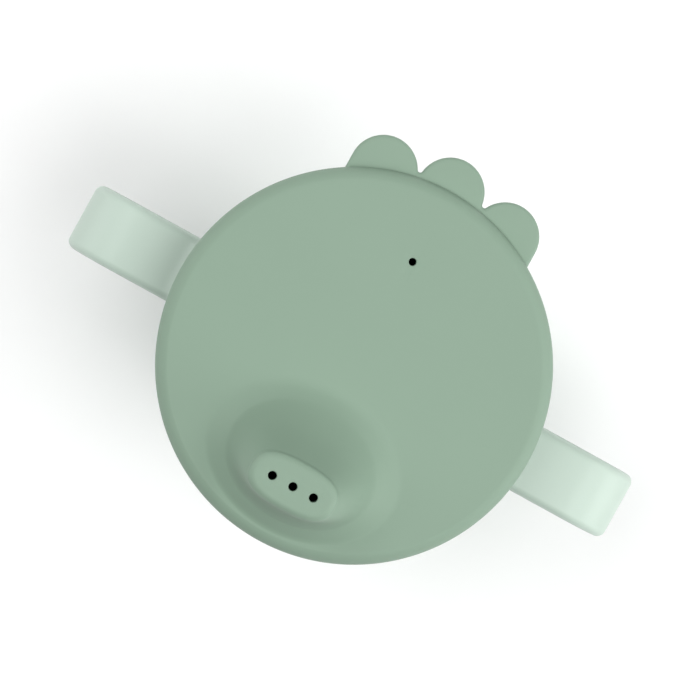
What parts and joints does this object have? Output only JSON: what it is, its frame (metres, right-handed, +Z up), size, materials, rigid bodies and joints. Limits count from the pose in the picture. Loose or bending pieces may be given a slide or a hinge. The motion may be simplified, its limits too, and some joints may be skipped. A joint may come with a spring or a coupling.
{
  "type": "sippy cup",
  "caption": "Round toddler cup with a strap handle on each side and a soft push-on lid that has a raised drinking spout, an air vent and a scalloped pull tab.",
  "frame": {"origin": "centre of the cup's flat foot, on the surface that the cup stands on", "axes": "+Z up through the cup, +X along the two handles towards the right handle, -Y towards the spout, +Y towards the pull tab"},
  "size_m": [0.1314, 0.0891, 0.101],
  "materials": {
    "cup_plastic": "satin moulded polypropylene, pale mint",
    "lid_silicone": "soft-touch matte silicone, sage green"
  },
  "bodies": {
    "cup": {"cup_body": "cup_plastic", "left_handle": "cup_plastic", "right_handle": "cup_plastic"},
    "lid": {"lid_cap": "lid_silicone", "spout": "lid_silicone", "pull_tab": "lid_silicone"}
  },
  "joints": [
    {"name": "lid_lift", "type": "slide", "parent": "cup", "child": "lid", "axis": [0, 0, 1], "range_m": [0, 0.04]}
  ]
}
